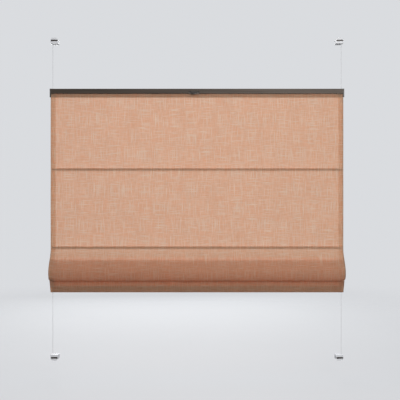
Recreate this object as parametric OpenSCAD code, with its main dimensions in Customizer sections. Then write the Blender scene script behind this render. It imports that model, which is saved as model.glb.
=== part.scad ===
// Roman blind on two tensioned cords, clamped to a window sash without drilling.
// Millimetres. +Z is up and the room is on the -Y side. The origin is the middle of the sash's top
// edge, in the plane of the sash's room-side face.

/* [Window sash] */
// Height of the sash between the two edges that the clamps grip
sash_h = 1082; // [1000:1:1400]
// Thickness of the sash edge in the mouth of each clamp
sash_overlap = 18; // [14:0.5:22]

/* [Top rail] */
// Length of the rail with its end caps
rail_w = 1000; // [600:1:1400]
// Height of the rail as seen from the room
rail_h = 17; // [15:0.5:24]
// Depth of the rail from front to back
rail_d = 14; // [14:0.5:20]
// Gap between the rail and the sash
rail_gap = 1; // [0.5:0.5:3]
// Drop from the sash's top edge to the top of the rail
rail_drop = 166; // [150:1:220]
// Wall of the rail's box
rail_wall = 1.4; // [1:0.1:2]
// Height of the front lip that hides the top of the cloth
lip_h = 5.4; // [4.5:0.1:7]
// Thickness of the front lip
lip_t = 1.8; // [1.4:0.1:2]
// Height of the band that the rear flange makes below the rail
band_h = 12; // [8:0.5:20]
// Thickness of the rear flange
flange_t = 1; // [0.8:0.1:1.2]
// Radius of the rail's long edges
rail_edge_r = 1.2; // [0.6:0.1:2]

/* [End caps] */
// Thickness of the cap outside the rail
cap_t = 5; // [4:0.5:7]
// How far the cap stands proud of the rail's section
cap_proud = 0.4; // [0.2:0.1:1]
// Length of the plug inside the rail
plug_l = 15; // [10:1:25]
// Width of the leg that covers the end of the band
leg_w = 4.4; // [3:0.1:5]

/* [Pull handle] */
// Width of the handle
handle_w = 34; // [24:1:60]
// How far the hood reaches out of the rail
handle_reach = 10.5; // [8:0.5:14]
// Thickness of the hood
handle_wall = 2.2; // [1.6:0.1:3]
// Thickness of the plate on the rail
handle_plate = 1.8; // [1.4:0.1:3]
// Place of the handle's middle along the rail
handle_x = -9.5; // [-200:0.5:200]
// Radius of the pegs that locate the handle
peg_r = 1.2; // [0.8:0.1:1.5]
// Length of those pegs
peg_l = 1.2; // [0.8:0.1:1.3]

/* [Cloth] */
// Thickness of one layer
cloth_t = 0.8; // [0.5:0.1:1.2]
// Gap from the rail's end to the cloth's edge
cloth_inset = 2.7; // [1:0.1:6]
// Distance of the cloth's plane in front of the cords
cloth_gap = 5; // [4.8:0.1:5.4]
// Width of the side hems
side_hem_w = 17; // [12:0.5:19]
// Extra thickness of the side hems at the back
side_hem_t = 0.7; // [0.3:0.1:0.9]
// Drop from the top of the rail to the seam of the first rod
first_panel = 273; // [180:1:320]
// Height of the panel between the seams of the first and second rods
second_panel = 265.5; // [150:0.5:300]
// Height of a rod's seam above the rod
seam_rise = 1; // [0.5:0.1:2]
// Drop from the second seam to the top of the gathered layers
gather_drop = 42.5; // [38:0.5:50]
// Drop from the second seam to the bottom of the gathered fold
fold_drop = 113.5; // [108:0.5:120]
// How far the fold stands out of the cloth's plane
fold_reach = 37; // [34:0.5:42]
// Depth of the fold's round bottom from front to back
fold_d = 16.5; // [14:0.5:18]
// Drop from the second seam to the bottom of the hem
hem_drop = 153.5; // [150:0.5:160]
// Height of the pocket in the hem
hem_h = 40; // [36:0.5:44]
// Lean of the hem towards the room
hem_tilt = 24; // [18:1:26]

/* [Rods and bottom bar] */
// Diameter of the rods
rod_d = 4; // [3:0.1:4.4]
// Length of a rod's end left bare for its guide
rod_bare = 8; // [6:0.5:12]
// Height of the bottom bar
bar_h = 26; // [20:0.5:30]
// Thickness of the bottom bar
bar_t = 2.8; // [2:0.1:3.4]
// Wall of the guides on the rods and the bar
guide_wall = 1; // [0.8:0.1:1.4]
// Height of the eye of a guide
guide_h = 6; // [4:0.5:10]

/* [Cords] */
// Diameter of the cords
cord_d = 1; // [0.8:0.1:1.4]
// Distance of a cord from the end of the rail
cord_inset = 9; // [8:0.5:10]
// Distance of the cords from the sash's face
cord_gap = 7; // [6.5:0.1:7.5]
// Diameter of the knot at each end of a cord
knot_d = 3; // [2.4:0.1:3.4]

/* [Clamps] */
// Width of a clamp
clamp_w = 25; // [23:0.5:32]
// Distance of a clamp's middle from the end of the rail
clamp_inset = 15; // [14:0.5:16]
// Depth of the bracket in front of the sash
bracket_d = 14; // [12:0.5:18]
// Height of the bracket below the sash's edge
bracket_drop = 12; // [10:0.5:16]
// Height of the bevelled crown above the sash's edge
crown_h = 7.5; // [6.5:0.5:10]
// Width of the crown's top
crown_w = 15; // [10:0.5:20]
// Width of the dark shoe
shoe_w = 22; // [20:0.5:22.4]
// Height of the dark shoe
shoe_h = 4.8; // [4.4:0.1:6]
// Depth of the dark shoe
shoe_d = 11; // [9.5:0.5:12]
// How far the shoe stands proud of the bracket
shoe_proud = 0.5; // [0.2:0.1:1]
// Width of the bracket's tongue over the sash's edge
tongue_w = 16; // [12:0.5:18]
// Thickness of the tongue
tongue_t = 2.5; // [2:0.1:3]
// Thickness of the soft pad under the tongue
pad_t = 0.6; // [0.4:0.1:1]
// Radius of the clamp's outer corners
clamp_edge_r = 1.4; // [0.8:0.1:2]
// Thickness of the sliding jaw
jaw_t = 6; // [5:0.5:8]
// How far the jaw reaches down behind the sash's edge
jaw_drop = 10; // [8:0.5:12]
// How far the jaw can close from here
jaw_close = 6; // [4:0.5:6]
// How far the jaw can open from here
jaw_open = 4; // [2:0.5:6]
// Diameter of the clamp screw's thread
screw_d = 3; // [2.5:0.5:4]

/* [Hidden] */
$fn = 48;
eps = 0.05;
// Clearance between pieces that slide or are pushed together
slide_gap = 0.3;
fit_gap = 0.2;
// How far a cut goes past the face that it opens
over = 1;

bronze = [0.31, 0.27, 0.245];
terracotta = [0.80, 0.60, 0.50];
white_plastic = [0.92, 0.93, 0.95];
brown_plastic = [0.2, 0.16, 0.13];
cord_grey = [0.8, 0.8, 0.81];
steel = [0.7, 0.71, 0.72];
soft_grey = [0.45, 0.45, 0.46];

// Left is -1 and right is 1; top is 1 and bottom is -1
left = -1;
right = 1;
top = 1;
bottom = -1;

// Places across the blind
cord_x = rail_w / 2 - cord_inset;
clamp_x = rail_w / 2 - clamp_inset;
rail_end = rail_w / 2 - cap_t;
cloth_half = rail_w / 2 - cloth_inset;
hem_half = cloth_half - side_hem_w;

// Places from the sash towards the room
rail_back_y = -rail_gap;
rail_front_y = rail_back_y - rail_d;
cord_y = -cord_gap;
cloth_y = cord_y - cloth_gap;
tape_t = 0.9;
tape_front_y = cloth_y + cloth_t / 2 + slide_gap;
flange_front_y = tape_front_y + tape_t;

// Heights of the rail
rail_top_z = -rail_drop;
rail_bottom_z = rail_top_z - rail_h;
box_bottom_z = rail_bottom_z + lip_h;
band_bottom_z = rail_bottom_z - band_h;

// The bush of a cord, and the bores that it passes through
cord_clear = 0.35;
cord_bore_r = cord_d / 2 + cord_clear;
bush_wall = 0.95;
bush_r = cord_bore_r + bush_wall;
bush_flange_w = 1.4;
bush_flange_r = bush_r + bush_flange_w;
bush_flange_t = 0.8;
bush_below = 1;
bush_hole_r = bush_r + fit_gap;

// The cloth's head in the rail, and the tape behind it
header_h = 3.5;
header_lap = 1;
header_half = rail_end - 1;
tape_half = hem_half - 1;
tape_lap = 2;

// Heights of the seams, the rods and the cloth's turns
seam_1_z = rail_top_z - first_panel;
seam_2_z = seam_1_z - second_panel;
rod_1_z = seam_1_z - seam_rise;
rod_2_z = seam_2_z - seam_rise;
gather_top_z = seam_2_z - gather_drop;
fold_bottom_z = seam_2_z - fold_drop;
hem_bottom_z = seam_2_z - hem_drop;

// The fold swells forward below the second seam and turns under in half an ellipse
seam_flat = 4;
fold_start_z = seam_2_z - seam_flat;
fold_turn_h = 17.6;
fold_turn_z = fold_bottom_z + cloth_t / 2 + fold_turn_h;
fold_back_f = fold_reach - fold_d;

// The gathered layers turn over in a small bend, close behind the fold's face
gather_bend_r = 1.7;
gather_bend_z = gather_top_z - cloth_t / 2 - gather_bend_r;
gather_gap = cloth_t + 2 * side_hem_t;
gather_f = fold_f(gather_bend_z) - cloth_t - gather_gap - gather_bend_r;
rod_3_drop = 3;
rod_3_z = gather_bend_z - rod_3_drop;

// The hem's pocket round the bar, which leans towards the room at its top
hem_f = 1;
hem_r = bar_t / 2 + slide_gap + cloth_t / 2;
hem_turn_z = hem_bottom_z + cloth_t / 2 + hem_r;
hem_lap = 2;
hem_ease = 40;
bar_clear = 1;
bar_low = cloth_t / 2 + slide_gap + bar_clear - hem_r;
bar_edge_r = 0.8;

// The pockets of the rods, and the guides past their ends
pocket_r = rod_d / 2 + slide_gap;
pocket_wall = 0.8;
pocket_inset = 2;
pocket_half = hem_half - pocket_inset;
rod_half = pocket_half + rod_bare;
guide_clear = 1.5;
guide_start = pocket_half + guide_clear;
eye_wall = guide_wall + 0.7;
eye_r = cord_bore_r + eye_wall;
arm_half = 0.6 * eye_r;
arm_inset = 1;
sleeve_r = rod_d / 2 + guide_wall;
notch_w = 4;
hem_notch_x = hem_half - notch_w;
plate_inset = 2;
plate_low = 2;
plate_l = 14;
web_t = 3;
bar_half = cord_x - 1;

// Heights inside a clamp, measured from the sash's edge
shoe_top = 0.5;
shoe_bottom = shoe_top - shoe_h;
cord_side = cord_x - clamp_x;
knot_z = shoe_top - knot_d / 2;
stop_t = 1.2;
tongue_end = sash_overlap + jaw_t + jaw_open + slide_gap + stop_t;
tongue_top = pad_t + tongue_t;
crown_rise = 1;
shoe_edge_r = 0.8;
tooth_pitch = 1.6;
tooth_w = 0.8;
tooth_depth = 0.4;
pad_edge = 0.5;
pad_l = sash_overlap - jaw_close - 1.4;
jaw_side = 3;
jaw_rise = 4;
jaw_edge_r = 2;
grip_r = 0.6;
screw_head_h = 1.6;
screw_head_r = 0.9 * screw_d;
screw_key_r = 0.5 * screw_d;
screw_key_depth = 1;
hood_drop = 2;

// Helpers

function ramp(t) = t * t * (3 - 2 * t);
function mix(a, b, t) = a + (b - a) * t;
function unit(v) = v / norm(v);
// Smooth curve from p to q that leaves along u and arrives along v
function eased(p, u, q, v, t) =
  mix(p, q, ramp(t)) + t * (1 - t) * (1 - t) * u - t * t * (1 - t) * v;

// Carries a drawing of the YZ plane from x0 to x1
module along_x(x0, x1) {
  translate([x0, 0, 0])
    rotate([90, 0, 90])
      linear_extrude(height = x1 - x0) children();
}

// Rectangle with round corners, between two opposite corners
module round_rect(low, high, r) {
  translate([low.x + r, low.y]) square([high.x - low.x - 2 * r, high.y - low.y]);
  translate([low.x, low.y + r]) square([high.x - low.x, high.y - low.y - 2 * r]);
  for (y = [low.x + r, high.x - r], z = [low.y + r, high.y - r])
    translate([y, z]) circle(r);
}

// Convex outline with round corners
module rounded(points, r) {
  n = len(points);
  corners = [for (i = [0:n - 1]) let (
    p = points[i],
    a = unit(points[(i + n - 1) % n] - p),
    b = unit(points[(i + 1) % n] - p),
    half = acos(a * b) / 2
  ) [p + a * r / tan(half), p + b * r / tan(half), p + unit(a + b) * r / sin(half)]];
  polygon([for (c = corners, k = [0, 1]) c[k]]);
  for (c = corners)
    translate(c[2]) circle(r);
}

// Straight strip of a given width between two points
module strip(a, b, w) {
  side = w / 2 * [a.y - b.y, b.x - a.x] / norm(b - a);
  polygon([a + side, b + side, b - side, a - side]);
}

// Rectangle between two opposite corners
module rect(low, high) {
  translate(low) square(high - low);
}

// Upright round bar or bore on a cord's line
module on_cord(side, z0, z1, r) {
  translate([side * cord_x, cord_y, z0]) cylinder(h = z1 - z0, r = r);
}

// Top rail

module rail_section() {
  difference() {
    union() {
      round_rect([rail_front_y, box_bottom_z], [rail_back_y, rail_top_z], rail_edge_r);
      round_rect([rail_front_y, rail_bottom_z], [rail_front_y + lip_t, box_bottom_z + 2 * rail_edge_r],
        lip_t / 2 - eps);
      rect([rail_front_y, box_bottom_z], [rail_front_y + lip_t, rail_top_z - rail_edge_r]);
      rect([flange_front_y, band_bottom_z], [flange_front_y + flange_t, box_bottom_z + rail_wall / 2]);
    }
    rect([rail_front_y + rail_wall, box_bottom_z + rail_wall],
      [rail_back_y - rail_wall, rail_top_z - rail_wall]);
  }
}

module top_rail() {
  color(bronze) difference() {
    along_x(-rail_end, rail_end) rail_section();
    for (side = [left, right])
      on_cord(side, box_bottom_z - over, rail_top_z + over, bush_hole_r);
    for (side = [left, right])
      handle_peg(side, peg_r + fit_gap / 2, peg_l + fit_gap);
  }
}

module end_cap(side) {
  leg_back_y = cloth_y - cloth_t / 2 - 2 * fit_gap;
  inset = rail_wall + slide_gap;
  color(bronze * 0.85) mirror([side == left ? 1 : 0, 0, 0]) {
    along_x(rail_end, rail_w / 2)
      round_rect([rail_front_y - cap_proud, rail_bottom_z - cap_proud],
                 [rail_back_y + cap_proud, rail_top_z + cap_proud], rail_edge_r + cap_proud);
    along_x(rail_w / 2 - leg_w, rail_w / 2)
      rect([rail_front_y - cap_proud, band_bottom_z], [leg_back_y, rail_bottom_z + rail_edge_r + cap_proud]);
    difference() {
      along_x(rail_end - plug_l, rail_end + eps)
        rect([rail_front_y + inset, box_bottom_z + inset], [rail_back_y - inset, rail_top_z - inset]);
      on_cord(right, box_bottom_z, rail_top_z, bush_hole_r);
    }
  }
}

module cord_bush(side) {
  color(brown_plastic) difference() {
    union() {
      on_cord(side, rail_top_z, rail_top_z + bush_flange_t, bush_flange_r);
      on_cord(side, box_bottom_z - bush_below, rail_top_z + eps, bush_r);
    }
    on_cord(side, box_bottom_z - bush_below - over, rail_top_z + bush_flange_t + over, cord_bore_r);
  }
}

module header_tape() {
  color(soft_grey)
    along_x(-tape_half, tape_half)
      rect([tape_front_y, band_bottom_z + over], [flange_front_y, rail_bottom_z + tape_lap]);
}

// Pull handle: a thin hood that starts on the rail and curves out and down over the finger

module handle_peg(side, r, l) {
  translate([handle_x + side * handle_w / 4, rail_front_y + l, rail_bottom_z + lip_h / 2])
    rotate([90, 0, 0]) cylinder(h = l + eps, r = r);
}

module handle_section() {
  hood_z = rail_bottom_z - hood_drop;
  intersection() {
    translate([rail_front_y, hood_z]) difference() {
      circle(handle_reach);
      circle(handle_reach - handle_wall);
    }
    rect([rail_front_y - handle_reach, hood_z], [rail_front_y, hood_z + handle_reach]);
  }
  rect([rail_front_y - handle_plate, rail_bottom_z], [rail_front_y, hood_z + handle_reach - handle_wall / 2]);
}

module pull_handle() {
  plan_r = (pow(handle_w / 2, 2) + pow(handle_reach, 2)) / (2 * handle_reach);
  color(bronze * 0.7) {
    intersection() {
      along_x(handle_x - handle_w / 2, handle_x + handle_w / 2) handle_section();
      translate([handle_x, rail_front_y - handle_reach + plan_r, rail_bottom_z - handle_reach])
        cylinder(h = 3 * handle_reach, r = plan_r, $fn = 96);
    }
    for (side = [left, right])
      handle_peg(side, peg_r, peg_l);
  }
}

// Cloth: the middle of the layer runs through points [f, z], where f is the distance towards the
// room from the cloth's plane. It drops flat from the rail, swells forward below the second seam,
// turns back under itself, climbs to a small bend behind the fold and drops again to the hem,
// which turns up round the bottom bar.

swell_steps = 20;
turn_steps = 20;
bend_steps = 8;
drop_steps = 16;

// Distance of the fold's face from the cloth's plane at a height
function fold_f(z) = fold_reach * ramp((fold_start_z - z) / (fold_start_z - fold_turn_z));
// Point of the hem's section, d towards the room from its middle and s up along its lean
function hem_point(d, s) = [
  hem_f + d * cos(hem_tilt) + s * sin(hem_tilt),
  hem_turn_z - d * sin(hem_tilt) + s * cos(hem_tilt)
];

flat_points = [[0, rail_bottom_z - header_lap / 2]];
swell_points = [for (i = [0:swell_steps]) let (z = mix(fold_start_z, fold_turn_z, i / swell_steps))
  [fold_f(z), z]];
fold_points = [for (i = [1:turn_steps]) let (a = 180 * i / turn_steps)
  [fold_back_f + fold_d / 2 * (1 + cos(a)), fold_turn_z - fold_turn_h * sin(a)]];
gather_points = [for (i = [0:bend_steps]) let (a = 180 * i / bend_steps)
  [gather_f + gather_bend_r * cos(a), gather_bend_z + gather_bend_r * sin(a)]];
drop_start = [gather_f - gather_bend_r, gather_bend_z];
drop_end = hem_point(hem_r, hem_h - hem_lap);
drop_pull = [0, -norm(drop_end - drop_start)];
hem_pull = -hem_ease * [sin(hem_tilt), cos(hem_tilt)];
drop_points = [for (i = [1:drop_steps])
  eased(drop_start, drop_pull, drop_end, hem_pull, i / drop_steps)];
hem_turn_points = [for (i = [0:bend_steps]) let (a = 180 * i / bend_steps)
  hem_point(hem_r * cos(a), -hem_r * sin(a))];
hem_back_points = [hem_point(-hem_r, hem_h)];

fold_path = concat(flat_points, swell_points, fold_points, gather_points, drop_points);
cloth_path = concat(fold_path, hem_turn_points, hem_back_points);

// Where the third rod's pocket and the back of the hem are sewn to the last layer
gather_seam = drop_points[1];
hem_seam = drop_points[drop_steps - 3];

// Direction of a path at one of its points, from the points on either side
function heading(path, i) = unit(path[min(i + 1, len(path) - 1)] - path[max(i - 1, 0)]);
// The path moved sideways by d towards the cloth's face
function beside(path, d) = [for (i = [0:len(path) - 1]) let (h = heading(path, i))
  path[i] + d * [-h.y, h.x]];
function reversed(path) = [for (i = [len(path) - 1:-1:0]) path[i]];
function placed(p) = [cloth_y - p.x, p.y];
function in_place(path) = [for (p = path) placed(p)];

// Section of a layer between two distances from the middle of the cloth
module layer(path, front, back) {
  polygon(in_place(concat(beside(path, front), reversed(beside(path, back)))));
}

// Places a drawing on the hem's own axes, with +Y towards the sash and +Z up along the hem's lean
module in_hem() {
  translate(placed([hem_f, hem_turn_z])) rotate(hem_tilt) children();
}

// Loop round a rod, sewn to the back of the cloth at a seam
module rod_pocket(z, seam) {
  along_x(-pocket_half, pocket_half) difference() {
    union() {
      translate([cord_y, z]) circle(pocket_r + pocket_wall);
      strip([cord_y, z + pocket_r + pocket_wall / 2], placed(seam), 2 * pocket_wall);
    }
    translate([cord_y, z]) circle(pocket_r);
  }
}

module fabric() {
  color(terracotta) difference() {
    union() {
      along_x(-cloth_half, cloth_half) layer(cloth_path, cloth_t / 2, -cloth_t / 2);
      along_x(-header_half, header_half)
        rect([cloth_y - cloth_t / 2, rail_bottom_z - header_lap],
          [cloth_y + cloth_t / 2, rail_bottom_z + header_h]);
      along_x(-cloth_half, cloth_half)
        strip(placed(hem_point(-hem_r, hem_h - cloth_t / 2)), placed(hem_seam), cloth_t);
      for (side = [left, right])
        mirror([side == left ? 1 : 0, 0, 0])
          along_x(hem_half, cloth_half) layer(fold_path, 0, -cloth_t / 2 - side_hem_t);
      rod_pocket(rod_1_z, [0, seam_1_z]);
      rod_pocket(rod_2_z, [0, seam_2_z]);
      rod_pocket(rod_3_z, gather_seam);
    }
    for (side = [left, right])
      mirror([side == left ? 1 : 0, 0, 0])
        along_x(hem_notch_x, cloth_half + over)
          in_hem() rect([bar_t / 2, -hem_r - cloth_t], [hem_r + cloth_t, hem_h - hem_lap]);
  }
}

// Rods and their guides

module rod(z) {
  color(steel)
    translate([-rod_half, cord_y, z]) rotate([0, 90, 0]) cylinder(h = 2 * rod_half, r = rod_d / 2);
}

module rod_guide(side, z) {
  color(brown_plastic) mirror([side == left ? 1 : 0, 0, 0]) difference() {
    union() {
      translate([guide_start, cord_y, z]) rotate([0, 90, 0])
        cylinder(h = rod_half + arm_inset - guide_start, r = sleeve_r);
      along_x(rod_half, cord_x)
        rect([cord_y - arm_half, z - guide_h / 2 + arm_inset],
          [cord_y + arm_half, z + guide_h / 2 - arm_inset]);
      on_cord(right, z - guide_h / 2, z + guide_h / 2, eye_r);
    }
    on_cord(right, z - guide_h, z + guide_h, cord_bore_r);
    translate([guide_start - over, cord_y, z]) rotate([0, 90, 0])
      cylinder(h = rod_half + fit_gap - guide_start + over, r = rod_d / 2 + fit_gap / 4);
  }
}

// Bottom bar and its guides: each has a plate on the back of the bar and a web out to the cord

module bottom_bar() {
  color(steel)
    along_x(-bar_half, bar_half)
      in_hem() round_rect([-bar_t / 2, bar_low], [bar_t / 2, bar_low + bar_h], bar_edge_r);
}

module bar_guide(side) {
  plate_mid = -bar_t / 2 - guide_wall / 2;
  foot = placed(hem_point(plate_mid, plate_low));
  head = placed(hem_point(plate_mid, plate_low + plate_l));
  color(brown_plastic) mirror([side == left ? 1 : 0, 0, 0]) difference() {
    union() {
      along_x(hem_notch_x + plate_inset, bar_half)
        in_hem() rect([bar_t / 2, plate_low], [bar_t / 2 + guide_wall, plate_low + plate_l]);
      along_x(cord_x - web_t, cord_x)
        polygon([foot, head, [cord_y, head.y], [cord_y, foot.y]]);
      on_cord(right, foot.y, head.y, eye_r);
    }
    on_cord(right, foot.y - over, head.y + over, cord_bore_r);
  }
}

// Cords: each ends in a knot that rests in its shoe

module cord(side) {
  low_z = -sash_h - knot_z;
  color(cord_grey) {
    on_cord(side, low_z, knot_z, cord_d / 2);
    for (z = [low_z, knot_z])
      translate([side * cord_x, cord_y, z]) sphere(d = knot_d);
  }
}

// Clamps: drawn at the top right and mirrored to the other corners

module at_corner(up, side) {
  translate([side * clamp_x, 0, up == top ? 0 : -sash_h])
    mirror([0, 0, up == top ? 0 : 1])
      mirror([side == left ? 1 : 0, 0, 0]) children();
}

module bracket_front() {
  rounded([
    [-clamp_w / 2, -bracket_drop], [clamp_w / 2, -bracket_drop], [clamp_w / 2, shoe_top + crown_rise],
    [crown_w / 2, crown_h], [-crown_w / 2, crown_h], [-clamp_w / 2, shoe_top + crown_rise]
  ], clamp_edge_r);
}

// Front outline of the shoe, or of its slot with a gap all round
module shoe_front(gap) {
  round_rect([-shoe_w / 2 - gap, shoe_bottom - gap], [shoe_w / 2 + gap, shoe_top + gap],
    shoe_edge_r + gap);
}

module clamp_bracket(up, side) {
  teeth = 8;
  color(white_plastic) at_corner(up, side) difference() {
    union() {
      rotate([90, 0, 0]) linear_extrude(height = bracket_d) bracket_front();
      translate([-tongue_w / 2, -bracket_d / 2, pad_t]) cube([tongue_w, bracket_d / 2 + tongue_end, tongue_t]);
      translate([-tongue_w / 2, tongue_end - stop_t, pad_t]) cube([tongue_w, stop_t, tongue_t + stop_t]);
    }
    translate([0, shoe_d - shoe_proud - bracket_d + fit_gap, 0])
      rotate([90, 0, 0]) linear_extrude(height = shoe_d + over) shoe_front(fit_gap);
    translate([cord_side, cord_y, -bracket_drop - over])
      cylinder(h = bracket_drop + over, r = cord_bore_r);
    for (i = [1:teeth])
      translate([0, tongue_end - stop_t - i * tooth_pitch, tongue_top - tooth_depth])
        translate([-tongue_w / 2 - over, 0, 0]) cube([tongue_w + 2 * over, tooth_w, tooth_depth + over]);
  }
}

module clamp_pad(up, side) {
  color(soft_grey) at_corner(up, side)
    translate([-tongue_w / 2 + pad_edge, pad_edge, 0]) cube([tongue_w - 2 * pad_edge, pad_l, pad_t]);
}

module cord_shoe(up, side) {
  color(brown_plastic) at_corner(up, side) difference() {
    translate([0, shoe_d - shoe_proud - bracket_d, 0])
      rotate([90, 0, 0]) linear_extrude(height = shoe_d) shoe_front(0);
    translate([cord_side, cord_y, shoe_bottom - over])
      cylinder(h = shoe_h + 2 * over, r = cord_d / 2 + fit_gap);
    translate([cord_side, cord_y, knot_z - knot_d / 2 - fit_gap / 2])
      cylinder(h = shoe_h, r = knot_d / 2 + fit_gap);
  }
}

module clamp_jaw(up, side) {
  grips = 3;
  jaw_w = tongue_w + 2 * jaw_side;
  jaw_top = tongue_top + jaw_rise;
  color(white_plastic) at_corner(up, side) difference() {
    translate([0, sash_overlap + jaw_t, 0]) rotate([90, 0, 0]) linear_extrude(height = jaw_t)
      round_rect([-jaw_w / 2, -jaw_drop], [jaw_w / 2, jaw_top], jaw_edge_r);
    translate([-tongue_w / 2 - slide_gap, sash_overlap - over, pad_t - slide_gap])
      cube([tongue_w + 2 * slide_gap, jaw_t + 2 * over, tongue_t + 2 * slide_gap]);
    translate([0, sash_overlap + jaw_t / 2, tongue_top])
      cylinder(h = jaw_rise + over, r = screw_d / 2 + fit_gap / 4);
    for (i = [1:grips])
      translate([-jaw_w / 2 - over, sash_overlap + jaw_t, -i * jaw_drop / (grips + 1)])
        rotate([0, 90, 0]) cylinder(h = jaw_w + 2 * over, r = grip_r);
  }
}

module clamp_screw(up, side) {
  head_z = tongue_top + jaw_rise;
  color(steel) at_corner(up, side) translate([0, sash_overlap + jaw_t / 2, 0]) difference() {
    union() {
      translate([0, 0, tongue_top + slide_gap]) cylinder(h = jaw_rise, r = screw_d / 2);
      translate([0, 0, head_z]) cylinder(h = screw_head_h, r = screw_head_r);
    }
    translate([0, 0, head_z + screw_head_h - screw_key_depth])
      cylinder(h = screw_key_depth + over, r = screw_key_r, $fn = 6);
  }
}

top_rail();
end_cap(left);  // end_cap_left
end_cap(right);  // end_cap_right
cord_bush(left);  // cord_bush_left
cord_bush(right);  // cord_bush_right
pull_handle();
header_tape();
fabric();
rod(rod_1_z);  // rod_1
rod_guide(left, rod_1_z);  // rod_1_guide_left
rod_guide(right, rod_1_z);  // rod_1_guide_right
rod(rod_2_z);  // rod_2
rod_guide(left, rod_2_z);  // rod_2_guide_left
rod_guide(right, rod_2_z);  // rod_2_guide_right
rod(rod_3_z);  // rod_3
rod_guide(left, rod_3_z);  // rod_3_guide_left
rod_guide(right, rod_3_z);  // rod_3_guide_right
bottom_bar();
bar_guide(left);  // bar_guide_left
bar_guide(right);  // bar_guide_right
cord(left);  // cord_left
cord(right);  // cord_right
clamp_bracket(top, left);  // clamp_bracket_top_left
clamp_bracket(top, right);  // clamp_bracket_top_right
clamp_bracket(bottom, left);  // clamp_bracket_bottom_left
clamp_bracket(bottom, right);  // clamp_bracket_bottom_right
clamp_pad(top, left);  // clamp_pad_top_left
clamp_pad(top, right);  // clamp_pad_top_right
clamp_pad(bottom, left);  // clamp_pad_bottom_left
clamp_pad(bottom, right);  // clamp_pad_bottom_right
cord_shoe(top, left);  // cord_shoe_top_left
cord_shoe(top, right);  // cord_shoe_top_right
cord_shoe(bottom, left);  // cord_shoe_bottom_left
cord_shoe(bottom, right);  // cord_shoe_bottom_right
clamp_jaw(top, left);  // clamp_jaw_top_left
clamp_jaw(top, right);  // clamp_jaw_top_right
clamp_jaw(bottom, left);  // clamp_jaw_bottom_left
clamp_jaw(bottom, right);  // clamp_jaw_bottom_right
clamp_screw(top, left);  // clamp_screw_top_left
clamp_screw(top, right);  // clamp_screw_top_right
clamp_screw(bottom, left);  // clamp_screw_bottom_left
clamp_screw(bottom, right);  // clamp_screw_bottom_right
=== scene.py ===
import math

import bmesh
import bpy
import numpy as np
from bpy.props import FloatProperty, FloatVectorProperty, IntProperty, PointerProperty
from bpy.types import Operator, Panel, PropertyGroup
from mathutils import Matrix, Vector


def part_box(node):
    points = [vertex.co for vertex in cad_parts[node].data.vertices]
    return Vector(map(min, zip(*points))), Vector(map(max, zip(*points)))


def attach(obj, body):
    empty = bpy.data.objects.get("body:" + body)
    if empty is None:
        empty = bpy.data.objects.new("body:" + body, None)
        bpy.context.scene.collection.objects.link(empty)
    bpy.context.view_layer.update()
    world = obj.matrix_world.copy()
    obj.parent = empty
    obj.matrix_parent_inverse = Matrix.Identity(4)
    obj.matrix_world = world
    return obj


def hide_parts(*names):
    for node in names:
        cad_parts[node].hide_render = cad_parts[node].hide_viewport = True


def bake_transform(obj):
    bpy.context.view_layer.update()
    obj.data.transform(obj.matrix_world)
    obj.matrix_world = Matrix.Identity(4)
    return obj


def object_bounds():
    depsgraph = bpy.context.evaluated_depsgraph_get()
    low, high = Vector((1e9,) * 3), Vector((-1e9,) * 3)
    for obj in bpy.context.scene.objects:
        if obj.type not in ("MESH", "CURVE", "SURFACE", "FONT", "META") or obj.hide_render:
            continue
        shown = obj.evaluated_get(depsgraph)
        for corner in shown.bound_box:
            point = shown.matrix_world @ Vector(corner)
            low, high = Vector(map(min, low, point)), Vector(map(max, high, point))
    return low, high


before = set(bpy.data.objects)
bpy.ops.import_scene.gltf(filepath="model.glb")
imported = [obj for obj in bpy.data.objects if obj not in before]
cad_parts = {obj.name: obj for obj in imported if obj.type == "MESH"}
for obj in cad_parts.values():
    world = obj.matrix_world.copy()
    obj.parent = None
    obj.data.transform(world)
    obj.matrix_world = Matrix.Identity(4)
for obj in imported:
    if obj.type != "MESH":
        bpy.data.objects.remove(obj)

CAD_BOX = [list(corner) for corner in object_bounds()]
RAIL_LOW, RAIL_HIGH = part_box("top_rail")
TAPE_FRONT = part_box("header_tape")[0].y
CLOTH_LOW, CLOTH_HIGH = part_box("fabric")
GUIDE_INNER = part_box("bar_guide_right")[0].x
ROD_BODIES = ("rod_1", "rod_2", "rod_3")
ROD_BOXES = [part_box(name) for name in ROD_BODIES]
ROD_Z = [(low.z + high.z) / 2 for low, high in ROD_BOXES]
ROD_Y = (ROD_BOXES[0][0].y + ROD_BOXES[0][1].y) / 2
ROD_R = (ROD_BOXES[0][1].z - ROD_BOXES[0][0].z) / 2

bl_info = {
    "name": "Linen Roman Blind",
    "version": (1, 0, 0),
    "blender": (4, 5, 0),
    "location": "View3D > Sidebar > Blind",
    "description": "Dresses a roman blind on cords with cloth, sewing, finishes and a stage",
    "category": "Object",
}

# Path of the cloth, in metres: that of the part's solid, with a rounder fold and a higher hem
SEAT_GAP = 0.0003  # between the cloth and what it lies on
SEAM_RISE = 0.0010  # from a rod's middle up to its seam
CREASE_RISE = 0.0027  # from there up to the crease
SEAM_ROWS = ((0.012, 13), (0.0044, 23))  # closer rows by a crease: reach and number
SWELL_DROP = 0.004  # from the lower seam down to where the fold begins
FOLD_DROP = 0.1135  # from the lower seam down to the fold's bottom
FOLD_DEPTH = 0.0165  # of the turn under the fold, front to back
FOLD_TURN = 0.0176  # height of that turn's rear part
NOSE_DEPTH = 0.0138  # depth of its front part
NOSE_TURN = 0.0300  # height of its front part
FOLD_EASE = 1.5  # power by which the fold's unevenness grows downwards
BEND_R = 0.0017  # radius of the bend over the third rod
BEND_GAP = 0.0030  # from the bend to the fold's front
BEND_RISE = 0.0060  # from the third rod's middle up to the bend
THIRD_SEAM = 0.0097  # from the bend down to the third pocket's seam
BAR_THICK = 0.0028
HEM_TILT = math.radians(24)
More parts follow.
